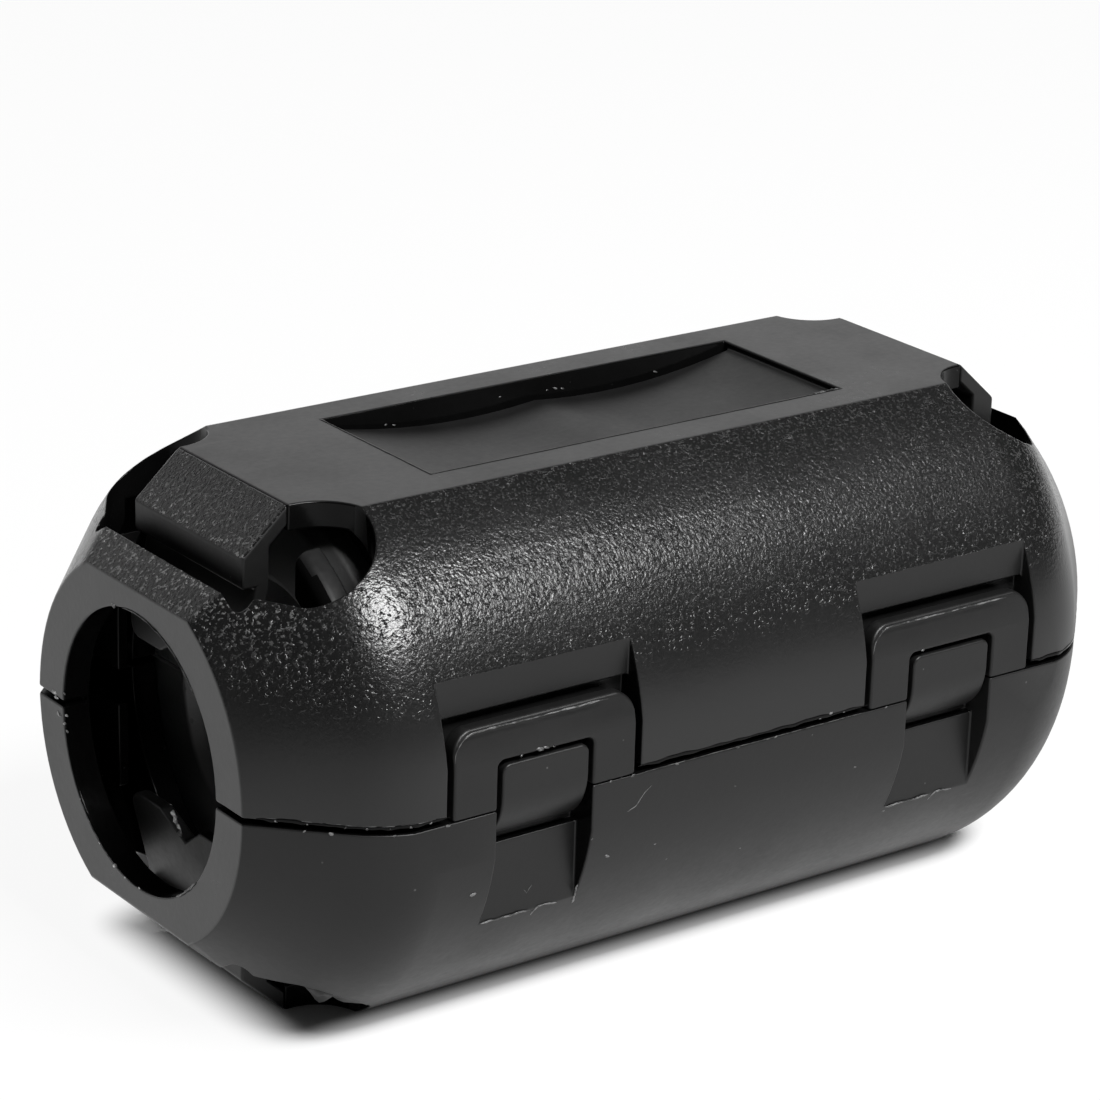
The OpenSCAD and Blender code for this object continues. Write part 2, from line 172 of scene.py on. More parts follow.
class HousingForm(bpy.types.PropertyGroup):
    """The turned form of the housing, which tells the eroded faces from the smooth ones"""

    body_radius: number(
        "Body radius", "Radius of the round sides", 0.0099, 0.005, 0.02, unit="LENGTH")
    ring_radius: number(
        "Ring radius", "Outer radius of the flat ring round the cable hole",
        0.00635, 0.003, 0.01, unit="LENGTH")
    shoulder_radius: number(
        "Shoulder radius", "Radius that blends the end cone into the sides",
        0.004, 0.001, 0.008, unit="LENGTH")
    ramp_angle: number(
        "Ramp angle", "Slope of the faces above and below the ring",
        math.radians(42), 0.3, 1.2, subtype="ANGLE")


class MouldedEdges(bpy.types.PropertyGroup):
    """How far the moulding's corners are broken"""

    shell_radius: number(
        "Shell edges", "Width of the rounding on the two shells",
        0.00008, 0.00002, 0.0002, precision=5, unit="LENGTH")
    clip_radius: number(
        "Clip edges", "Width of the rounding on the loops and grips",
        0.0001, 0.00002, 0.0002, precision=5, unit="LENGTH")
    core_radius: number(
        "Core edges", "Width of the rounding on the ferrite",
        0.00012, 0.00002, 0.0003, precision=5, unit="LENGTH")
    steps: IntProperty(
        name="Steps", description="Number of faces across a rounded edge", default=2, min=1, max=6)
    sharp_angle: number(
        "Sharp angle", "Edges that turn more than this are rounded",
        math.radians(25), 0.1, 1.5, subtype="ANGLE")


class NylonFinish(bpy.types.PropertyGroup):
    """The black nylon of the housing"""

    colour: grey("Nylon", "Colour of the plastic", 0.0066)
    pale: grey("Stressed nylon", "Colour of thin flash and of scratches", 0.11)
    satin_roughness: number(
        "Satin roughness", "Roughness of the smooth faces", 0.42, subtype="FACTOR")
    eroded_roughness: number(
        "Eroded roughness", "Roughness inside the pits of the eroded faces", 0.25, subtype="FACTOR")
    smooth_height: number(
        "Smooth height", "How far the lid is smooth above the parting line",
        0.0014, 0, 0.005, precision=4, unit="LENGTH")
    grain_size: number(
        "Grain size", "Width of the pits that spark erosion leaves",
        0.00013, 0.00003, 0.001, precision=5, unit="LENGTH")
    grain_depth: number(
        "Grain depth", "Depth of those pits", 0.000048, 0, 0.0002, precision=6, unit="LENGTH")


class FerriteFinish(bpy.types.PropertyGroup):
    """The sintered ferrite of the half cores"""

    colour: grey("Ferrite", "Colour of the sintered surface", 0.03)
    roughness: number("Roughness", "Roughness of the sintered surface", 0.5, subtype="FACTOR")


class StageLook(bpy.types.PropertyGroup):
    """The floor, the lights and the camera"""

    floor: grey("Floor", "Colour of the floor and the backdrop", 0.92)
    daylight: number("Room light", "Strength of the even light from all sides", 0.06, 0, 2)
    lamp_power: number("Lamp", "Power of the soft box above the latches, in watts", 1.0, 0, 20)
    floor_white: number(
        "Floor's own light", "Share of white light in what is seen of the floor",
        0.93, subtype="FACTOR")
    backdrop_white: number(
        "Backdrop's own light", "The same for the backdrop", 0.7, subtype="FACTOR")
    lens: number("Lens", "Focal length on a 36 mm sensor, in millimetres", 128.554, 20, 400)


GROUPS = {
    "bead_form": HousingForm, "bead_edges": MouldedEdges, "bead_nylon": NylonFinish,
    "bead_ferrite": FerriteFinish, "bead_stage": StageLook,
}


# ---- Materials ----

# Where the grain of the eroded faces changes, from none to full: heights above the parting line, then a
# stretch along the cable and a band of heights at the front end, where a highlight is painted into the
# colour.
PIT_FADE = 0.0034
CRATER_Z = (0.0028, 0.0062)
PAINTED_HIGHLIGHT_X, PAINTED_HIGHLIGHT_Z = (-0.0142, -0.0162), (0.0045, 0.0068)
VIEWPORT_COLOUR = (0.03, 0.03, 0.032, 1)


def operator(operation, reflected=False):
    """A method that adds a Math node; reflected takes the other term first."""
    def apply(socket, other):
        terms = (other, socket) if reflected else (socket, other)
        return socket.graph.add(
            "ShaderNodeMath", {"operation": operation}, dict(enumerate(terms)))
    return apply


class Socket:
    """An output of a material node. Arithmetic on it adds Math nodes."""

    def __init__(self, graph, link):
        self.graph = graph
        self.link = link

    __add__, __radd__ = operator("ADD"), operator("ADD", True)
    __sub__, __rsub__ = operator("SUBTRACT"), operator("SUBTRACT", True)
    __mul__, __rmul__ = operator("MULTIPLY"), operator("MULTIPLY", True)
    __pow__ = operator("POWER")
    at_most, at_least = operator("MINIMUM"), operator("MAXIMUM")

    def __abs__(self):
        return self.graph.add("ShaderNodeMath", {"operation": "ABSOLUTE"}, {0: self})

    def clamped(self):
        """The value kept between 0 and 1."""
        return self.at_least(0.0).at_most(1.0)

    def rise(self, low, high):
        """0 below low, 1 above high and a smooth step between them; falls where low is the higher."""
        return self.graph.add(
            "ShaderNodeMapRange", {"interpolation_type": "SMOOTHSTEP"},
            {"Value": self, "From Min": low, "From Max": high})


class Graph:
    """The node tree of one material or world, filled through add()."""

    def __init__(self, tree):
        self.tree = tree

    def add(self, kind, settings=None, sockets=None, output=0):
        """Adds a node, sets it, joins or fills its sockets, and returns one output."""
        node = self.tree.nodes.new(kind)
        for name, value in (settings or {}).items():
            setattr(node, name, value)
        for key, value in (sockets or {}).items():
            if isinstance(value, Socket):
                self.tree.links.new(value.link, node.inputs[key])
            else:
                node.inputs[key].default_value = value
        return Socket(self, node.outputs[output]) if node.outputs else None

    def place(self, scale=(1, 1, 1)):
        """Object coordinates, in metres, stretched by scale."""
        here = self.add("ShaderNodeTexCoord", output="Object")
        if scale == (1, 1, 1):
            return here
        return self.add("ShaderNodeMapping", {}, {"Vector": here, "Scale": scale})

    def axis(self, name):
        """One of the object coordinates, in metres."""
        return self.add("ShaderNodeSeparateXYZ", {}, {"Vector": self.place()}, name)

    def noise(self, size, detail=2.0, roughness=0.5, scale=(1, 1, 1)):
        """Fractal noise whose features are about size metres wide."""
        return self.add(
            "ShaderNodeTexNoise", {},
            {"Vector": self.place(scale), "Scale": 1 / size, "Detail": detail,
             "Roughness": roughness})

    def dots(self, spacing, radius, share, soft=0.4):
        """A mask of round dots: points scattered at that spacing, of which a share is kept."""
        sockets = {"Vector": self.place(), "Scale": 1 / spacing}
        reach = self.add("ShaderNodeTexVoronoi", {}, sockets, "Distance")
        pick = self.add("ShaderNodeTexVoronoi", {}, sockets, "Color")
        chance = self.add("ShaderNodeSeparateColor", {}, {"Color": pick}, "Red")
        size = radius / spacing
        return reach.rise(size, size * (1 - soft)) * chance.rise(1 - share, 1 - share + 0.01)

    def mix(self, mask, low, high):
        """The colour low where the mask is 0 and high where it is 1."""
        return self.add(
            "ShaderNodeMix", {"data_type": "RGBA"}, {0: mask, 6: low, 7: high}, 2)

    def bump(self, height, depth):
        """A normal raised by height times depth metres."""
        return self.add(
            "ShaderNodeBump", {}, {"Height": height, "Distance": depth, "Strength": 1.0})


def rgba(colour, gain=1.0):
    """A colour times gain, with full alpha."""
    return (colour[0] * gain, colour[1] * gain, colour[2] * gain, 1)


def fresh_graph(owner):
    """The empty node tree of a new material or world."""
    owner.use_nodes = True
    owner.node_tree.nodes.clear()
    return Graph(owner.node_tree)


# Each of the next five fills a graph and returns what its Principled shader takes.

def eroded_nylon(graph, finish):
    """Nylon off a spark-eroded mould: shallow pits and craters, with specks of painted glint between them on
    the upper sides and a painted highlight on the upper front end.

    The pits fade out towards the parting line, where the mould wore them smooth as it opened.
    """
    size = finish.grain_size
    height, length = graph.axis("Z"), graph.axis("X")
    full = height.rise(finish.smooth_height, finish.smooth_height + PIT_FADE)
    pits = graph.noise(size, 2.0, 0.6)
    craters = graph.noise(size * 1.2, 1.0, 0.5).rise(0.56, 0.68)
    cloud = graph.noise(0.004, 3.0, 0.55)
    high = height.rise(*CRATER_Z)
    relief = pits * 0.45 * full + craters * high
    # Painted glints: specks of five times lighter colour, kept to the upper sides, where the highlight lies.
    painted_glints = graph.noise(size * 0.9, 3.0, 0.7).rise(0.56, 0.68) * high
    # A painted highlight: patches of much lighter colour high on the front end, where the ramp meets the
    # cone.
    highlight_zone = length.rise(*PAINTED_HIGHLIGHT_X) * height.rise(*PAINTED_HIGHLIGHT_Z)
    painted_highlight = graph.noise(size * 1.2, 2.0, 0.6).rise(0.56, 0.66) * highlight_zone
    tone = (cloud - 0.5) * 0.5 + (pits - 0.5) * 0.6 + 0.5
    body = graph.mix(tone.clamped(), rgba(finish.colour, 0.6), rgba(finish.colour, 1.3))
    return {
        "Base Color": graph.mix(
            painted_highlight, graph.mix(painted_glints, body, rgba(finish.colour, 5.0)), rgba(finish.colour, 22.0)),
        "Roughness": full * (finish.eroded_roughness - finish.satin_roughness)
        + finish.satin_roughness + (cloud - 0.5) * 0.1,
        "Normal": graph.bump(relief, finish.grain_depth),
        "IOR": 1.45,
    }


def satin_nylon(graph, finish, rougher=0.0, index=1.36, tint=1.0):
    """Nylon off a polished mould: faint flow clouds, fine handling marks and a few bright specks.

    rougher is added to the finish's roughness, index is the refractive index and tint scales the colour;
    below 1 it paints shade.
    """
    cloud = graph.noise(0.0035, 4.0, 0.6)
    skin = graph.noise(0.00022, 3.0, 0.6)
    hair = graph.noise(0.0011, 3.0, 0.7, (0.35, 5.0, 5.0))
    marks = hair.rise(0.63, 0.72) * cloud.rise(0.45, 0.6)
    specks = graph.dots(0.0016, 0.00009, 0.12, 0.9).at_least(graph.dots(0.0006, 0.00005, 0.12))
    tone = (cloud - 0.5) * 1.1 + (skin - 0.5) * 0.5 + 0.5
    worn = graph.mix(
        tone.clamped(), rgba(finish.colour, 0.7 * tint), rgba(finish.colour, 1.35 * tint))
    return {
        "Base Color": graph.mix(specks * 0.4 * tint, worn, rgba(finish.pale)),
        "Roughness": finish.satin_roughness + rougher + (cloud - 0.5) * 0.22
        + (skin - 0.5) * 0.12 - marks * 0.05,
        "Normal": graph.bump(skin + cloud * 1.5 + specks * 2.0, 0.0000035),
        "IOR": index,
    }


def pale_nylon(graph, finish, light_gain=1.0):
    """Thin flash and scratches, where stretched nylon turns pale. The last argument scales the colour, and
    above 1 it paints a highlight.
    """
    patch = graph.noise(0.0003, 3.0, 0.6)
    return {
        "Base Color": graph.mix(
            patch.rise(0.4, 0.62), rgba(finish.colour, 1.6 * light_gain), rgba(finish.pale, light_gain)),
        "Roughness": 0.34 + (patch - 0.5) * 0.2,
        "Normal": graph.bump(patch, 0.00001),
        "IOR": 1.5,
    }


def sintered_ferrite(graph, finish):
    """Sintered ferrite: a dark ceramic with fine grain, a few pores and worn corners."""
    grain = graph.noise(0.00012, 4.0, 0.65)
    cloud = graph.noise(0.003, 3.0, 0.5)
    pores = graph.dots(0.0007, 0.00009, 0.3)
    tone = ((cloud - 0.5) * 0.9 + (grain - 0.5) * 0.7 + 0.5).clamped()
    body = graph.mix(tone, rgba(finish.colour, 0.7), rgba(finish.colour, 1.4))
    return {
        "Base Color": graph.mix(pores, body, rgba(finish.colour, 0.3)),
        "Roughness": finish.roughness + (cloud - 0.5) * 0.2 + (grain - 0.5) * 0.2,
        "Normal": graph.bump(grain - pores * 0.8, 0.000012),
        "IOR": 1.7,
    }


def ground_ferrite(graph, finish):
    """The mating faces of the half cores, ground flat along the cable."""
    lines = graph.noise(0.0004, 4.0, 0.7, (0.04, 6.0, 1.0))
    grain = graph.noise(0.0001, 3.0, 0.6)
    tone = ((lines - 0.5) * 1.4 + 0.5).clamped()
    return {
        "Base Color": graph.mix(tone, rgba(finish.colour, 1.3), rgba(finish.colour, 2.6)),
        "Roughness": 0.3 + (lines - 0.5) * 0.2 + (grain - 0.5) * 0.1,
        "Normal": graph.bump(lines + grain * 0.3, 0.000004),
        "IOR": 1.9,
    }


# What fills each material's shader: a function, its group of values and what else it takes
FINISHES = {
    "satin_nylon": (satin_nylon, "bead_nylon"),
    "eroded_nylon": (eroded_nylon, "bead_nylon"),
    "planed_nylon": (satin_nylon, "bead_nylon", -0.1, 1.5),
    "leaf_nylon": (satin_nylon, "bead_nylon", -0.02, 1.52),
    # Its colour cut to a third is painted shade, for deep walls, insides and thin dark strips.
    "shaded_nylon": (satin_nylon, "bead_nylon", -0.25, 1.2, 0.35),
    "pale_nylon": (pale_nylon, "bead_nylon"),
    # Pale flash lightened sevenfold: painted highlight on the ring's crumbs and along the lower grip's edge.
    "bleached_nylon": (pale_nylon, "bead_nylon", 7.0),
    "sintered_ferrite": (sintered_ferrite, "bead_ferrite"),
    "ground_ferrite": (ground_ferrite, "bead_ferrite"),
}


def material_called(name):
    """The material of that name, made the first time it is asked for."""
    if name in bpy.data.materials:
        return bpy.data.materials[name]
    fill, group, *rest = FINISHES[name]
    material = bpy.data.materials.new(name)
    graph = fresh_graph(material)
    sockets = fill(graph, getattr(bpy.context.scene, group), *rest)
    shader = graph.add("ShaderNodeBsdfPrincipled", {}, sockets)
    graph.add("ShaderNodeOutputMaterial", {}, {"Surface": shader})
    material.diffuse_color = VIEWPORT_COLOUR
    return material


# ---- Pieces that stand for the CAD nodes ----

def turned_form(points, form):
    """The housing's turned form at each point: how far the point lies inside it, and its normal there.

    The profile is a cylinder, then the shoulder's arc, then a cone down to the ring.
    """
    x, y, z = points.T
    reach = np.hypot(y, z)
    meets = HALF_LENGTH - (form.body_radius - form.ring_radius)
    start = meets - form.shoulder_radius * math.tan(CONE_ANGLE / 2)
    over = np.clip(np.abs(x) - start, 0, form.shoulder_radius * math.sin(CONE_ANGLE))
    lean = np.arcsin(over / form.shoulder_radius)
    past = np.abs(x) - start - over
    radius = form.body_radius - form.shoulder_radius * (1 - np.cos(lean)) - past.clip(0)
    normal = np.stack([
        np.sign(x) * np.sin(lean), np.cos(lean) * y / reach.clip(1e-9),
        np.cos(lean) * z / reach.clip(1e-9)], -1)
    return radius - reach, normal


def turned_faces(centres, normals, form):
    """True for faces that lie on the turned form, and for the flat lips beside the parting line."""
    inside, outwards = turned_form(centres, form)
    near, same_way, tolerance = 0.00006, 0.985, 0.00001
    x, y, z = np.abs(centres.T)
    lip = (y > FLAT_Y - tolerance) & (x < LIP_X) & (z < LIP_Z) & (np.abs(x - CATCH_X) > CATCH_REACH)
    return lip | ((np.abs(inside) < near) & ((normals * outwards).sum(1) > same_way))


def eroded_faces(centres, normals, form):
    """True for faces on the turned form and for those with the slope of the ramps."""
    x, _, z = centres.T
    lengthwise, sideways, upwards = normals.T
    slope = np.abs(np.abs(upwards) - math.cos(form.ramp_angle)) < 0.02
    ramp = slope & (np.abs(sideways) < 0.05) & (x * lengthwise > 0) & (z * upwards > 0)
    return turned_faces(centres, normals, form) | ramp


def shell_finish(centres, normals, form, eroded):
    """The number of each face's finish on a shell, in the order of SHELL_FINISHES.

    The flats above and below and the end rings are planed. The leaves and the windows' walls lie behind the
    flats. The walls, the inside and the end walls are shaded: their darker colour is painted shade.
    """
    x, y, z = centres.T
    upright, lengthwise = np.abs(normals[:, 2]), np.abs(normals[:, 0])
    level, steep, near = 0.7, 0.3, 0.0001
    on_form = turned_faces(centres, normals, form)
    flat = (np.abs(z) > HALF_HEIGHT - near) & (upright > 0.9)
    ring = (np.abs(x) > HALF_LENGTH - 0.2 * near) & (lengthwise > 0.9)
    window = (np.abs(x) < WINDOW_X + near) & (np.abs(y) < WINDOW_Y + near) & (np.abs(z) > LEAF_Z)
    leaf = window & ~flat & (z * normals[:, 2] > 0) & (upright > level)
    wall = window & (upright < steep)
    bore = np.hypot(y, z) < HOLE_RADIUS + 2 * near
    chamber = (turned_form(centres, form)[0] > 3 * near) & (normals[:, 1] * y + normals[:, 2] * z < 0)
    inside = (bore | chamber) & ~ring & ~window
    ends = (np.abs(x) > END_X) & ~flat & ~ring & ~on_form & (upright <= level)
    pick = np.where(flat | ring, PLANED, SATIN)
    pick = np.where(leaf, LEAF, pick)
    pick = np.where(wall | inside | ends, SHADED, pick)
    return np.where(eroded_faces(centres, normals, form) & eroded, ERODED, pick)


def read(items, field, size=1, kind=float):
    """One field of all the items of a mesh as an array, with size columns if there is more than one."""
    values = np.zeros(len(items) * size, kind)
    items.foreach_get(field, values)
    return values.reshape(-1, size) if size > 1 else values


def settle_normals(mesh, bands, form=None):
    """Gives each corner the normal of the faces that it had before its edges were rounded.

    The normal is their sum by area, or the exact normal of the turned form, if given, where all of them lie
    on it. bands marks the narrow faces of the rounded edges, which take no part in the sum.
    """
    centres, normals = read(mesh.polygons, "center", 3), read(mesh.polygons, "normal", 3)
    areas, spots = read(mesh.polygons, "area"), read(mesh.vertices, "co", 3)
    face = np.repeat(np.arange(len(areas)), read(mesh.polygons, "loop_total", kind=int))
    corners = read(mesh.loops, "vertex_index", kind=int)
    turned = turned_faces(centres, normals, form) & ~bands if form else np.zeros_like(bands)
    weight = areas * np.where(bands, 1e-6, 1)
    total = np.zeros_like(spots)
    np.add.at(total, corners, (normals * weight[:, None])[face])
    other = np.bincount(corners, (~turned & ~bands)[face], len(spots))
    on_form = np.bincount(corners, turned[face], len(spots))
    exact = (other == 0) & (on_form > 0)
    if form:
        total[exact] = turned_form(spots[exact], form)[1]
    total /= np.linalg.norm(total, axis=1)[:, None].clip(1e-12)
    mesh.polygons.foreach_set("use_smooth", np.ones(len(areas), bool))
    mesh.normals_split_custom_set_from_vertices(total.tolist())


def linked(name, data):
    """A new object in the scene, of a mesh, a lamp or a camera."""
    piece = bpy.data.objects.new(name, data)
    bpy.context.scene.collection.objects.link(piece)
    return piece


def merged_mesh(node, name, flatten, form):
    """A copy of a CAD node's mesh with its corners merged and its flat faces joined.

    flatten is the largest angle, in degrees, between faces that are joined. On a shell, which has a form,
    the rims of the ribs inside the openings are rounded as well.
    """
    merge, sliver, near, rib_round = 0.00004, 0.000005, 0.00006, 0.00045
    work = bmesh.new()
    work.from_mesh(frame["nodes"][node].data)
    bmesh.ops.remove_doubles(work, verts=work.verts, dist=merge)
    bmesh.ops.dissolve_limit(
        work, angle_limit=math.radians(flatten), verts=work.verts, edges=work.edges)
    bmesh.ops.dissolve_degenerate(work, dist=sliver, edges=work.edges)
    if form:
        ribs = [edge for edge in work.edges if all(
            abs(abs(v.co.x) - RIB_X) < near and abs(math.hypot(v.co.y, v.co.z) - RIB_RADIUS) < near
            for v in edge.verts)]
        bmesh.ops.bevel(
            work, geom=ribs, offset=rib_round, offset_type="OFFSET", segments=4, profile=0.5,
            affect="EDGES", clamp_overlap=True)
    mesh = bpy.data.meshes.new(name)
    work.to_mesh(mesh)
    work.free()
    if not mesh.polygons:
        raise RuntimeError(f"the copy of {node} has no faces")
    return mesh


def round_edges(mesh, width):
    """Rounds a mesh's sharp edges; the result is True for the narrow faces that this makes."""
    edges = bpy.context.scene.bead_edges
    work = bmesh.new()
    work.from_mesh(mesh)
    band = work.faces.layers.int.new("band")
    sharp = [e for e in work.edges if e.is_manifold and e.calc_face_angle() > edges.sharp_angle]
    made = bmesh.ops.bevel(
        work, geom=sharp, offset=width, offset_type="OFFSET", segments=edges.steps, profile=0.5,
        affect="EDGES", clamp_overlap=False, loop_slide=False, material=-1)
    for face in made["faces"]:
        face[band] = 1
    work.to_mesh(mesh)
    work.free()
    bands = read(mesh.attributes["band"].data, "value", kind=np.int32)
    mesh.attributes.remove(mesh.attributes["band"])
    return bands == 1


def softened_copy(node, name, width, materials, choose, flatten=0.6, form=None):
    """A piece that stands for a CAD node: its merged mesh with rounded edges.

    choose(centres, normals) gives each face the index of its material.
    """
    mesh = merged_mesh(node, name, flatten, form)
    for material in materials:
        mesh.materials.append(material_called(material))
    pick = choose(read(mesh.polygons, "center", 3), read(mesh.polygons, "normal", 3))
    mesh.polygons.foreach_set("material_index", pick.astype(np.int32))
    settle_normals(mesh, round_edges(mesh, width), form)
    piece = linked(name, mesh)
    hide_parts(node)
    return piece


# ---- New surfaces ----

def surface_piece(name, grids, material):
    """A smooth closed mesh from one grid of points, or from a stack of such grids.

    Its rows run along the piece and its columns round it. Faces join each point to its neighbours; the
    columns close on themselves and fans close both ends.
    """
    grids = grids[None] if grids.ndim == 3 else grids
    copies, rows, columns = grids.shape[:3]
    ring = np.arange(columns)
    after = (ring + 1) % columns
    row = np.arange(rows - 1)[:, None] * columns
    quads = np.stack([row + ring, row + after, row + columns + after, row + columns + ring], -1)
    first, last = rows * columns, rows * columns + 1
    end = (rows - 1) * columns
    fans = np.concatenate([
        np.stack([np.full(columns, first), after, ring], -1),
        np.stack([np.full(columns, last), end + ring, end + after], -1)])
    points = np.concatenate([
        grids.reshape(copies, -1, 3), grids[:, 0].mean(1)[:, None], grids[:, -1].mean(1)[:, None]], 1)
    step = (np.arange(copies) * (last + 1))[:, None, None]
    faces = (quads.reshape(1, -1, 4) + step).reshape(-1, 4).tolist()
    faces += (fans[None] + step).reshape(-1, 3).tolist()
    points = points.reshape(-1, 3)
    mesh = bpy.data.meshes.new(name)
    mesh.from_pydata(points.tolist(), [], faces)
    mesh.update()
    work = bmesh.new()
    work.from_mesh(mesh)
    bmesh.ops.recalc_face_normals(work, faces=work.faces)
    work.to_mesh(mesh)
    work.free()
    mesh.polygons.foreach_set("use_smooth", np.ones(len(mesh.polygons), bool))
    mesh.materials.append(material_called(material))
    return linked(name, mesh)


def wobble(count, size, seed):
    """Smooth noise along a line: a sum of sines with falling height and fixed random phases."""
    random = np.random.default_rng(seed)
    t = np.linspace(0, 1, count)
    waves = np.arange(1, 9)
    phase = random.uniform(0, 2 * np.pi, 8)
    tall = random.uniform(0.4, 1, 8) / np.sqrt(waves)
    return size * (tall * np.sin(2 * np.pi * np.outer(t, waves * 1.7) + phase)).sum(-1) / 2


def bead_along(name, path, radius, seed, material="pale_nylon", flat=0.6):
    """A thin bead of flash along a path of points: an ellipse whose width wanders and tapers to both ends.

    Each section is path + radius(t) * (cos q * across + flat * sin q * up), where up is away from the
    cable's axis.
    """
    step, fewest, sides = 0.00008, 12, 8
    corners = np.asarray(path, float)
    reach = np.r_[0, np.cumsum(np.linalg.norm(np.diff(corners, axis=0), axis=1))]
    count = int(max(fewest, reach[-1] / step))
    t = np.linspace(0, reach[-1], count)
    line = np.stack([np.interp(t, reach, corners[:, k]) for k in range(3)], -1)
    along = np.gradient(line, axis=0)
    along /= np.linalg.norm(along, axis=1)[:, None]
    up = line * [0, 1, 1]
    up -= along * (up * along).sum(1)[:, None]
    up /= np.linalg.norm(up, axis=1)[:, None]
    across = np.cross(along, up)
    line = line + across * wobble(count, radius * 0.6, seed)[:, None]
    s = np.linspace(0, 1, count)
    taper = np.clip(np.minimum(s, 1 - s) * 12, 0.05, 1) ** 0.6
    thick = radius * taper * np.clip(1 + wobble(count, 0.55, seed + 1), 0.35, 1.7)
    q = np.linspace(0, 2 * np.pi, sides, endpoint=False)
    grid = line[:, None] + thick[:, None, None] * (
        np.cos(q)[None, :, None] * across[:, None] + flat * np.sin(q)[None, :, None] * up[:, None])
    return surface_piece(name, grid, material)


def crumbs(name, centres, sizes, seed, outwards, material="pale_nylon"):
    """Small crumbs of flash: each is a lumpy ellipsoid, twice as long as wide and half of that thick.

    A crumb's points are centre + size * (cos v * along + 0.5 sin v cos q * across + 0.25 sin v sin q * out).
    sizes are in micrometres, and outwards is one direction for all crumbs or one for each.
    """
    random = np.random.default_rng(seed)
    count, rows, sides = len(centres), 6, 8
    out = np.broadcast_to(np.asarray(outwards, float), (count, 3))
    out = out / np.linalg.norm(out, axis=1)[:, None]
    turn = random.uniform(-0.5, 0.5, count)[:, None]
    side = np.cross(out, [0, 0, 1.0]) + np.cross(out, [0.02, 1.0, 0]) * 0.02
    side /= np.linalg.norm(side, axis=1)[:, None]
    along = side * np.cos(turn) + np.cross(out, side) * np.sin(turn)
    across = np.cross(out, along)
    v, q = np.meshgrid(
        np.linspace(0.15, np.pi - 0.15, rows), np.arange(sides) * 2 * np.pi / sides, indexing="ij")
    lump = 1 + random.uniform(-0.22, 0.22, (count, rows, sides))
    wide = np.asarray(sizes, float)[:, None, None] * MICRON * lump
    grid = np.asarray(centres)[:, None, None] + (
        (wide * np.cos(v))[..., None] * along[:, None, None]
        + (wide * 0.5 * np.sin(v) * np.cos(q))[..., None] * across[:, None, None]
        + (wide * 0.25 * np.sin(v) * np.sin(q))[..., None] * out[:, None, None])
    return surface_piece(name, grid, material)


def latch_side(places, form):
    """Points on the latch side of the housing, from their places along the cable and their heights, in mm."""
    x, z = np.asarray(places, float).T * MM
    radius = turned_form(np.stack([x, 0 * x, 0 * x], -1), form)[0]
    return np.stack([x, -np.minimum(np.sqrt(radius ** 2 - z ** 2), FLAT_Y), z], -1)


def level_on_latch_side(start, stop, height, count, form):
    """A level line of points on the latch side, in mm."""
    return latch_side(np.stack([np.linspace(start, stop, count), np.full(count, height)], -1), form)


def ring_side(angles, reach):
    """Points on the front ring, from their angles above the latch side and their distance from the axis."""
    a = np.radians(angles)
    return np.stack([np.full_like(a, -HALF_LENGTH), -reach * np.cos(a), reach * np.sin(a)], -1)


def latch_crumbs(name, spots, seed, form):
    """Crumbs on the latch side, each from its x, its height and its size."""
    spots = np.asarray(spots, float)
    places = latch_side(spots[:, :2], form)
    return crumbs(name, places, spots[:, 2], seed, places * [0, 1, 1])


def ring_crumbs(name, spots, seed):
    """Crumbs of flash on the front ring, lightened sevenfold as painted highlight, each from its angle, its
    distance from the axis and its size.
    """
    angles, reach, sizes = np.asarray(spots, float).T
    return crumbs(name, ring_side(angles, reach * MM), sizes, seed, (-1.0, 0, 0.1), "bleached_nylon")


def upright_crumbs(name, spots, y, seed, outwards):
    """Crumbs on a wall of constant y, each from its x, its height and its size."""
    x, z, sizes = np.asarray(spots, float).T
    return crumbs(name, np.stack([x * MM, np.full_like(x, y), z * MM], -1), sizes, seed, outwards)


def loop_flash(end, seed):
    """The bead of flash round the upper corner and along the upper edge of a latch loop."""
    low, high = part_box(f"latch_loop_{end}")
    a = np.radians(np.linspace(185, 95, 9))
    straight = np.linspace(low.x + LOOP_CORNER + 0.1 * MM, high.x - 1.2 * MM, 30)
    x = np.r_[low.x + LOOP_CORNER * (1 + np.cos(a)), straight]
    z = np.r_[high.z - LOOP_CORNER * (1 - np.sin(a)), np.full(30, high.z)] - 0.02 * MM
    path = np.stack([x, np.full_like(x, low.y - 0.005 * MM), z], -1)
    return bead_along(f"loop_flash_{end}", path, 24 * MICRON, seed)


def pocket_flash(end, middle, form, seed, wave_seed):
    """The bead of flash along the lower edge of the pocket under a catch."""
    x = middle + np.linspace(-1.85, 0.1, 24) * MM
    z = -np.sqrt(form.body_radius ** 2 - POCKET_Y ** 2) + wobble(24, 0.02 * MM, wave_seed)
    lip = np.stack([x, np.full(24, -POCKET_Y - 0.03 * MM), z], -1)
    return bead_along(f"pocket_flash_{end}", lip, 32 * MICRON, seed)


def shade_strip(name, start, end, width, seed):
    """A hair-thin strip of painted shade along an edge of a flat, where the edge shows a dark line: a strip
    whose width wanders.

    Each section is a rectangle, width by two hundredths of a millimetre, that stands half out of the flat.
    """
    count = 90
    start, end = np.asarray(start, float), np.asarray(end, float)
    along = (end - start) / np.linalg.norm(end - start)
    across = np.cross([0, 0, 1.0], along)
    line = start + np.linspace(0, 1, count)[:, None] * (end - start)
    half = 0.5 * width * np.clip(1 + wobble(count, 0.5, seed), 0.5, 1.6)[:, None]
    up = np.array([0, 0, 0.01 * MM]) * np.sign(start[2])
    grid = np.stack([
        line - across * half - up, line - across * half + up, line + across * half + up,
        line + across * half - up], 1)
    return surface_piece(name, grid, "shaded_nylon")


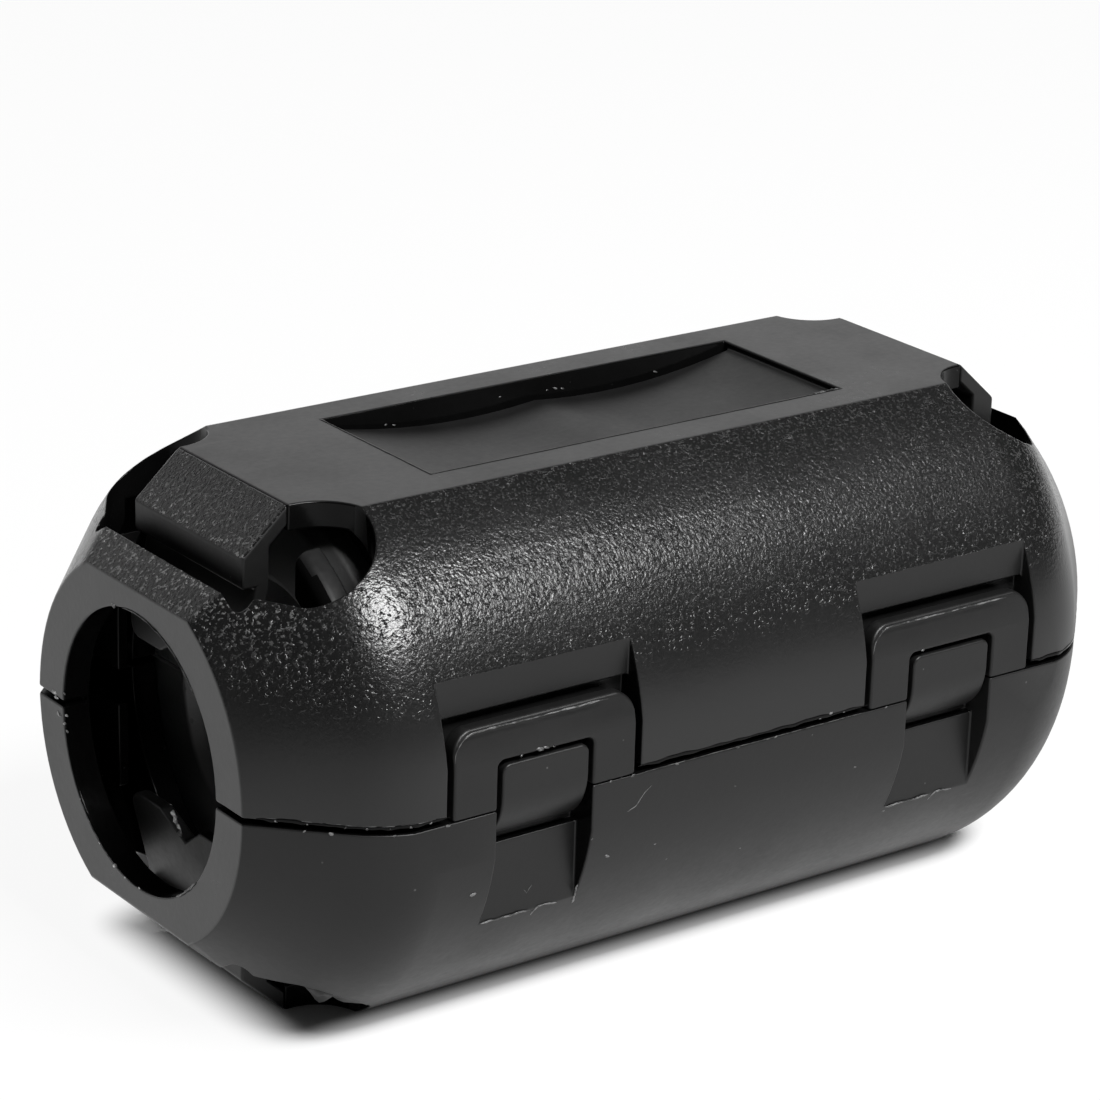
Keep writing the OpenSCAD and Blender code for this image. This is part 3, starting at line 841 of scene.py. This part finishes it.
def torn_lip(name, places, form):
    """A torn lip of flash that hangs from an opening's rim: a strip along the turned form.

    Each place gives x and the strip's upper and lower z. The strip thins towards its ragged lower edge: its
    outer face lies just under the form and its inner face behind that.
    """
    x, top, low = np.asarray(places, float).T
    outer, edge = latch_side(np.stack([x, top], -1), form), latch_side(np.stack([x, low], -1), form)
    inwards = outer * [0, 1, 1]
    inwards /= -np.linalg.norm(inwards, axis=1)[:, None]
    sunk, edge_depth, root_depth = 0.02 * MM, 0.08 * MM, 0.25 * MM
    grid = np.stack([
        outer + inwards * sunk, edge + inwards * sunk, edge + inwards * edge_depth,
        outer + inwards * root_depth], 1)
    return surface_piece(name, grid, "satin_nylon")


def hinge_web(name, low, high):
    """A thin web over the parting line, whose section is an arc from foot to foot, thinner halfway.

    The arc's centre and radius come from the box of the CAD strap. The section is the arc moved out and in
    by half the thickness. It is carried along the cable and rounded at both ends.
    """
    half_strap = STRAP_THICKNESS / 2
    foot_y, crest_y, foot_z, sunk = FLAT_Y, high.y - half_strap, 1.2 * MM, 0.12 * MM
    thinned, thin_width, round_share = 0.28, 0.28, 0.012
    bulge = crest_y - foot_y
    radius = foot_z ** 2 / (2 * bulge) + bulge / 2
    centre_y = crest_y - radius
    half_turn = math.acos((foot_y - sunk - centre_y) / radius)
    a = np.linspace(-half_turn, half_turn, 25)
    thick = half_strap * (1 - thinned * np.exp(-(a / (thin_width * half_turn)) ** 2))
    outer = np.stack([centre_y + (radius + thick) * np.cos(a), (radius + thick) * np.sin(a)], -1)
    inner = np.stack([centre_y + (radius - thick) * np.cos(a), (radius - thick) * np.sin(a)], -1)
    section = np.vstack([outer, inner[::-1]])
    middle = np.vstack([(outer + inner) / 2, ((outer + inner) / 2)[::-1]])
    s = np.concatenate([
        np.linspace(0, 0.12, 5)[:-1], np.linspace(0.12, 0.88, 13), np.linspace(0.88, 1, 5)[1:]])
    x = low.x + (high.x - low.x) * s
    end = np.minimum(s, 1 - s) / round_share
    swell = np.sqrt(np.clip(1 - (1 - np.clip(end, 0, 1)) ** 2, 0.02, 1))
    flat = middle[None] + (section - middle)[None] * swell[:, None, None]
    grid = np.concatenate([np.broadcast_to(x[:, None, None], flat.shape[:2] + (1,)), flat], -1)
    return surface_piece(name, grid, "satin_nylon")


def keep(piece, body):
    """Puts a small piece on its body."""
    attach(piece, body)


# ---- Operators ----

class BEAD_OT_shells(bpy.types.Operator):
    """Makes the lid and the base with rounded edges, eroded on the lid's round sides and smooth elsewhere"""

    bl_idname = "bead.shells"
    bl_label = "Housing shells"

    def execute(self, context):
        form, edges = context.scene.bead_form, context.scene.bead_edges
        for node in ("lid_shell", "base_shell"):
            def choose(centres, normals, eroded=node == "lid_shell"):
                return shell_finish(centres, normals, form, eroded)
            piece = softened_copy(
                node, node.replace("_shell", "_moulding"), edges.shell_radius, SHELL_FINISHES,
                choose, form=form)
            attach(piece, BODY_OF[node])
        return {"FINISHED"}


class BEAD_OT_clips(bpy.types.Operator):
    """Makes the four cable grips and the two latch loops with rounded edges"""

    bl_idname = "bead.clips"
    bl_label = "Grips and loops"

    def execute(self, context):
        form, edges = context.scene.bead_form, context.scene.bead_edges
        for node in sorted(n for n in BODY_OF if "grip" in n or "loop" in n):
            def choose(centres, normals, eroded=node.startswith("lid_grip")):
                return eroded_faces(centres, normals, form) & eroded
            flatten = 9 if "loop" in node else 0.6
            piece = softened_copy(
                node, node + "_moulding", edges.clip_radius, SHELL_FINISHES[:2], choose, flatten)
            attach(piece, BODY_OF[node])
        return {"FINISHED"}


class BEAD_OT_cores(bpy.types.Operator):
    """Makes the two half cores of ferrite with ground mating faces"""

    bl_idname = "bead.cores"
    bl_label = "Ferrite cores"

    def execute(self, context):
        edges = context.scene.bead_edges
        for node in ("base_core", "lid_core"):
            def choose(centres, normals):
                return (np.abs(centres[:, 2]) < 0.02 * MM) & (np.abs(normals[:, 2]) > 0.9)
            piece = softened_copy(
                node, node + "_ferrite", edges.core_radius,
                ["sintered_ferrite", "ground_ferrite"], choose)
            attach(piece, BODY_OF[node])
        return {"FINISHED"}


class BEAD_OT_hinge_webs(bpy.types.Operator):
    """Makes the two thin webs that join the lid to the base"""

    bl_idname = "bead.hinge_webs"
    bl_label = "Hinge webs"

    def execute(self, context):
        for node in ("hinge_strap_front", "hinge_strap_rear"):
            low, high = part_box(node)
            web = hinge_web(node.replace("strap", "web"), low, high)
            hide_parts(node)
            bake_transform(web)
        return {"FINISHED"}


class BEAD_OT_flash(bpy.types.Operator):
    """Makes the thin flash, crumbs and scratches that moulding and handling left, and thin strips of painted
    shade and painted highlight
    """

    bl_idname = "bead.flash"
    bl_label = "Flash and scratches"

    def execute(self, context):
        form = context.scene.bead_form
        self.latch_flash(form)
        self.parting_flash(form)
        self.base_marks(form)
        self.ring_flash()
        self.window_flash()
        keep(torn_lip("opening_lip", OPENING_LIP, form), "base")
        return {"FINISHED"}

    def latch_flash(self, form):
        """Flash on the loops and on the pockets under the catches."""
        for end, side in (("front", -1), ("rear", 1)):
            low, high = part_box(f"latch_loop_{end}")
            middle = (low.x + high.x) / 2
            keep(loop_flash(end, 21 + side), "base")
            keep(pocket_flash(end, middle, form, 11 + side, 5 + side), "base")
            curl = latch_side([(middle / MM + x, z) for x, z in POCKET_CURL], form)
            keep(bead_along(f"pocket_curl_{end}", curl, 34 * MICRON, 31 + side), "base")
        keep(bead_along("pocket_tear", latch_side(POCKET_TEAR, form), 40 * MICRON, 41), "base")
        on_loops = upright_crumbs("loop_crumbs", LOOP_CRUMBS, -FLAT_Y - 0.01 * MM, 51, (0, -1.0, 0.6))
        keep(on_loops, "base")

    def parting_flash(self, form):
        """Strips of painted shade that widen the parting gap's dark line, the flash and the crumbs beside the
        parting line.
        """
        keep(latch_crumbs("lid_crumbs", LID_CRUMBS, 52, form), "lid")
        for place, (start, stop) in PARTING_SHADE.items():
            # A strip of darkened nylon just above the parting gap: painted shade that widens its dark line.
            worn = level_on_latch_side(start, stop, 0.15, 60, form)
            keep(bead_along(
                f"parting_wear_{place}", worn, 50 * MICRON, 81, "shaded_nylon", 0.25), "lid")
        edge = level_on_latch_side(-17.0, -12.2, 0.2, 40, form)
        keep(bead_along("parting_flash_lid", edge, 8 * MICRON, 53), "lid")
        edge = level_on_latch_side(-4.6, 4.7, -HALF_GAP / MM, 60, form)
        keep(bead_along("parting_flash_base", edge, 8 * MICRON, 54), "base")

    def base_marks(self, form):
        """Crumbs and scratches on the base's latch side."""
        keep(latch_crumbs("base_crumbs", BASE_CRUMBS, 55, form), "base")
        scratch = latch_side(SIDE_SCRATCH, form)
        keep(bead_along("side_scratch", scratch, 16 * MICRON, 56, flat=0.35), "base")
        tick = np.array([(x, -POCKET_Y / MM, z) for x, z in POCKET_SCRATCH]) * MM
        keep(bead_along("pocket_scratch", tick, 16 * MICRON, 57, flat=0.35), "base")

    def ring_flash(self):
        """Flash round the lower rim of the front hole, a painted highlight along its upper rim, crumbs on the
        ring lightened as painted highlight, and a painted highlight along the lower grip's edge behind it.
        """
        rim = HOLE_RADIUS + 0.01 * MM
        for name, start, stop, count, radius, seed, body in (
                ("ring_flash_base", -41, -60, 12, 60, 61, "base"),
                ("ring_edge_base", -60, -140, 60, 16, 62, "base"),
                # On the lid, the pale bead is a painted highlight along the rim's edge.
                ("ring_edge_lid", 100, 42, 50, 30, 63, "lid")):
            arc = ring_side(np.linspace(start, stop, count), rim)
            keep(bead_along(name, arc, radius * MICRON, seed), body)
        # A painted highlight: a bead of lightened nylon along the lower grip's upper edge.
        on_grip = bead_along("grip_flash", np.array(GRIP_HIGHLIGHT) * MM, 70 * MICRON, 66, "bleached_nylon")
        keep(on_grip, "base")
        keep(ring_crumbs("ring_crumbs_base", RING_CRUMBS_BASE, 64), "base")
        keep(ring_crumbs("ring_crumbs_lid", RING_CRUMBS_LID, 65), "lid")

    def window_flash(self):
        """The burr at the window's corner, strips of painted shade along the window's edges round the leaf
        and the crumbs on the wall.
        """
        outside = -WINDOW_Y + 0.02 * MM
        burr = np.array([(x * MM, outside - y * MM, HALF_HEIGHT) for x, y in WINDOW_BURR])
        keep(bead_along("window_burr", burr, 45 * MICRON, 71), "lid")
        corner = (-WINDOW_X - 0.03 * MM, -WINDOW_Y - 0.04 * MM, HALF_HEIGHT)
        rear, side = (corner[0], WINDOW_Y, HALF_HEIGHT), (WINDOW_X, corner[1], HALF_HEIGHT)
        keep(shade_strip("window_seam_end", rear, corner, 0.06 * MM, 73), "lid")
        keep(shade_strip("window_seam_side", corner, side, 0.05 * MM, 74), "lid")
        keep(upright_crumbs("window_crumbs", WINDOW_CRUMBS, WINDOW_Y, 72, (0, -1.0, 0.2)), "lid")


class BEAD_OT_stage(bpy.types.Operator):
    """Makes the floor, the backdrop, the lights and the camera"""

    bl_idname = "bead.stage"
    bl_label = "Stage"

    def execute(self, context):
        scene, look = context.scene, context.scene.bead_stage
        stage_floor(look)
        stage_backdrop(look)
        stage_lights(look)
        camera = linked("bead_camera", bpy.data.cameras.new("bead_camera"))
        camera.data.sensor_width, camera.data.lens = 36, look.lens
        camera.data.clip_start, camera.data.clip_end = 0.01, 20
        camera.matrix_world = Matrix.LocRotScale(CAMERA_PLACE, CAMERA_TURN, None)
        scene.camera = camera
        scene.view_settings.view_transform = "Standard"
        return {"FINISHED"}


def pale_stage_material(name, look, glow, contacts=()):
    """A matt pale surface that takes shadows.

    What the camera, gloss and glass see of it is partly its own light, so it reads as white. With contacts,
    that light fades out under what stands on it and towards the front.
    """
    material = bpy.data.materials.new(name)
    graph = fresh_graph(material)
    rays = [graph.add("ShaderNodeLightPath", {}, {}, kind)
            for kind in ("Is Camera Ray", "Is Glossy Ray", "Is Transmission Ray")]
    seen = rays[0].at_least(rays[1]).at_least(rays[2])
    if contacts:
        side, front = graph.axis("X"), graph.axis("Y")
        for middle, long, wide, fade in contacts:
            x, y = abs(side), abs(front - middle)
            past = ((x - long).at_least(0.0) ** 2 + (y - wide).at_least(0.0) ** 2) ** 0.5
            seen = seen * past.rise(0.0, fade)
        seen = seen * front.rise(*FRONT_FADE)
    matt = graph.add("ShaderNodeBsdfDiffuse", {}, {"Color": rgba(look.floor)})
    white = graph.add("ShaderNodeEmission", {}, {"Color": (1, 1, 1, 1), "Strength": 1.0})
    both = graph.add("ShaderNodeMixShader", {}, {0: seen * glow, 1: matt, 2: white})
    graph.add("ShaderNodeOutputMaterial", {}, {"Surface": both})
    return material


def stage_sheet(name, grid, material):
    """An open sheet from a grid of points."""
    rows, columns = grid.shape[:2]
    row, column = np.meshgrid(np.arange(rows - 1), np.arange(columns - 1), indexing="ij")
    corner = row * columns + column
    faces = np.stack([corner, corner + 1, corner + columns + 1, corner + columns], -1)
    mesh = bpy.data.meshes.new(name)
    mesh.from_pydata(grid.reshape(-1, 3).tolist(), [], faces.reshape(-1, 4).tolist())
    mesh.polygons.foreach_set("use_smooth", np.ones(len(mesh.polygons), bool))
    mesh.materials.append(material)
    sheet = linked(name, mesh)


def stage_floor(look):
    """A flat sheet under the bead: points (u, v, floor) on a square grid."""
    u = np.linspace(-3, 3, 9)
    x, y = np.meshgrid(u, u, indexing="xy")
    grid = np.stack([x, y, np.full_like(x, FLOOR_Z)], -1)
    stage_sheet("floor", grid, pale_stage_material("pale_floor", look, look.floor_white, CONTACTS))


def stage_backdrop(look):
    """A curved card behind the bead: part of an upright cylinder, radius * (cos a, sin a), on the floor."""
    turn = np.radians(np.linspace(20, 130, 33))
    rise = np.linspace(FLOOR_Z, BACKDROP_TOP, 9)
    a, z = np.meshgrid(turn, rise, indexing="xy")
    grid = np.stack([BACKDROP_RADIUS * np.cos(a), BACKDROP_RADIUS * np.sin(a), z], -1)
    stage_sheet("backdrop", grid, pale_stage_material("pale_backdrop", look, look.backdrop_white))


def stage_lights(look):
    """A soft box above the latches, long in the cable's direction, and even light from the room."""
    lamp = bpy.data.lights.new("soft_box", "AREA")
    lamp.shape, lamp.energy = "RECTANGLE", look.lamp_power
    lamp.size, lamp.size_y = LAMP_SIZE
    box = linked("soft_box", lamp)
    box.matrix_world = Matrix.Translation(LAMP_TARGET + LAMP_AIM * LAMP_DISTANCE) @ (
        Matrix.Rotation(LAMP_AIM.angle(Vector((0, 0, 1))), 4, "X"))
    world = bpy.data.worlds.new("studio")
    bpy.context.scene.world = world
    graph = fresh_graph(world)
    grey = graph.add(
        "ShaderNodeBackground", {}, {"Color": (1, 1, 1, 1), "Strength": look.daylight})
    graph.add("ShaderNodeOutputWorld", {}, {"Surface": grey})


class BEAD_PT_panel(bpy.types.Panel):
    """Lists the bead's pieces and their sizes"""

    bl_idname = "BEAD_PT_panel"
    bl_label = "Clip-on ferrite bead"
    bl_space_type = "VIEW_3D"
    bl_region_type = "UI"
    bl_category = "Bead"

    def draw(self, context):
        layout = self.layout
        for action in OPERATORS:
            layout.operator(action.bl_idname, text=action.bl_label)
        for name, group in GROUPS.items():
            box = layout.box()
            for field in group.__annotations__:
                box.prop(getattr(context.scene, name), field)


OPERATORS = [
    BEAD_OT_shells, BEAD_OT_clips, BEAD_OT_cores, BEAD_OT_hinge_webs, BEAD_OT_flash,
    BEAD_OT_stage,
]


def register():
    for part in [*GROUPS.values(), *OPERATORS, BEAD_PT_panel]:
        bpy.utils.register_class(part)
    for name, group in GROUPS.items():
        setattr(bpy.types.Scene, name, PointerProperty(type=group))


def unregister():
    for name in GROUPS:
        delattr(bpy.types.Scene, name)
    for part in reversed([*GROUPS.values(), *OPERATORS, BEAD_PT_panel]):
        bpy.utils.unregister_class(part)


def main():
    register()
    bpy.ops.bead.shells()
    bpy.ops.bead.clips()
    bpy.ops.bead.cores()
    bpy.ops.bead.hinge_webs()
    bpy.ops.bead.flash()
    bpy.ops.bead.stage()


if __name__ == "__main__":
    main()
